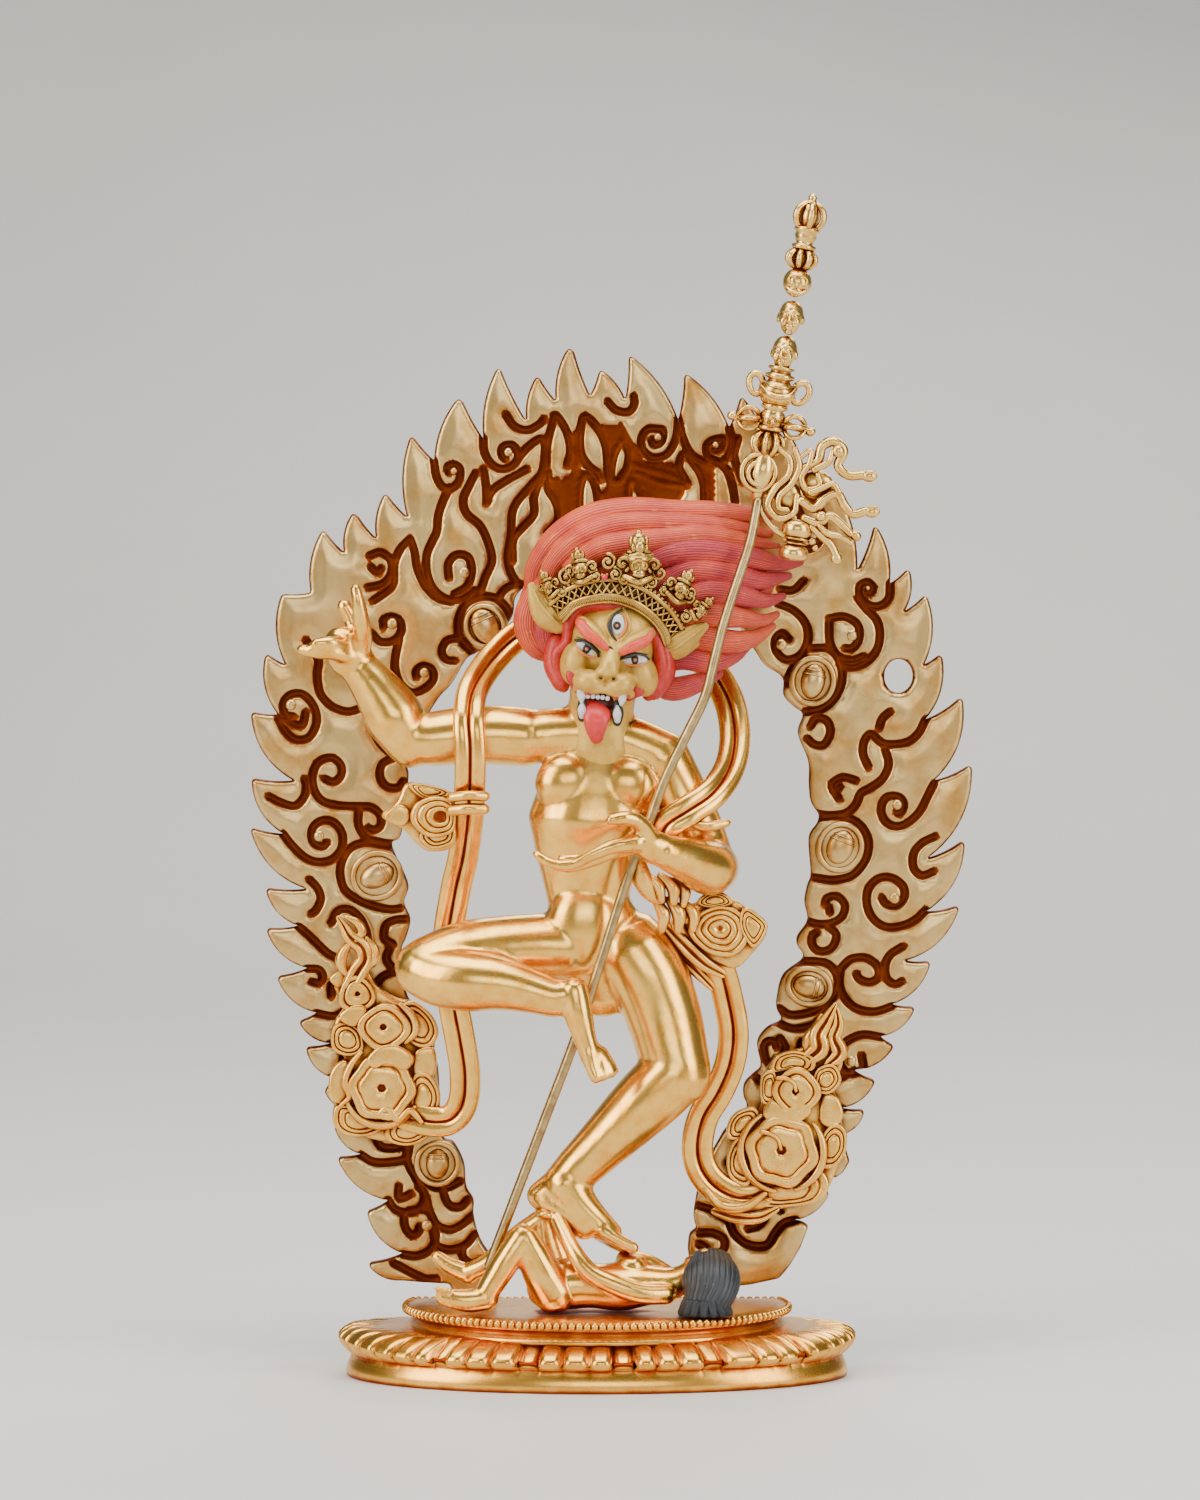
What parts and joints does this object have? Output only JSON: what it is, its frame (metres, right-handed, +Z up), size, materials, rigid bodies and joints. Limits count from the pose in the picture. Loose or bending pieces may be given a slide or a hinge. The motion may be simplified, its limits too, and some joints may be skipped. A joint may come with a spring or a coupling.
{
  "type": "deity statue",
  "caption": "Gilt cast-metal statue of a lion-faced dancing figure on a corpse and an oval lotus base, with a long scarf, a staff and a pierced flame ring behind.",
  "frame": {"origin": "centre of the lotus base's underside, which is the plane it stands on", "axes": "+Z up; +X to the viewer's right, along the base's long side; +Y to the back, where the flame ring stands"},
  "size_m": [0.1364, 0.0556, 0.2198],
  "materials": {
    "bright_gilt": "bright satin fire gilding with orange-brown patina in the recesses",
    "pale_gilt": "satin, paler and greener gilding, red paint on the back",
    "pale_brass": "satin pale brass"
  },
  "bodies": {
    "root": {"lotus_base": "bright_gilt", "flame_aureole": "pale_gilt", "corpse": "bright_gilt", "lion_faced_dakini": "bright_gilt", "long_scarf": "bright_gilt", "khatvanga_staff": "pale_brass"}
  },
  "joints": []
}
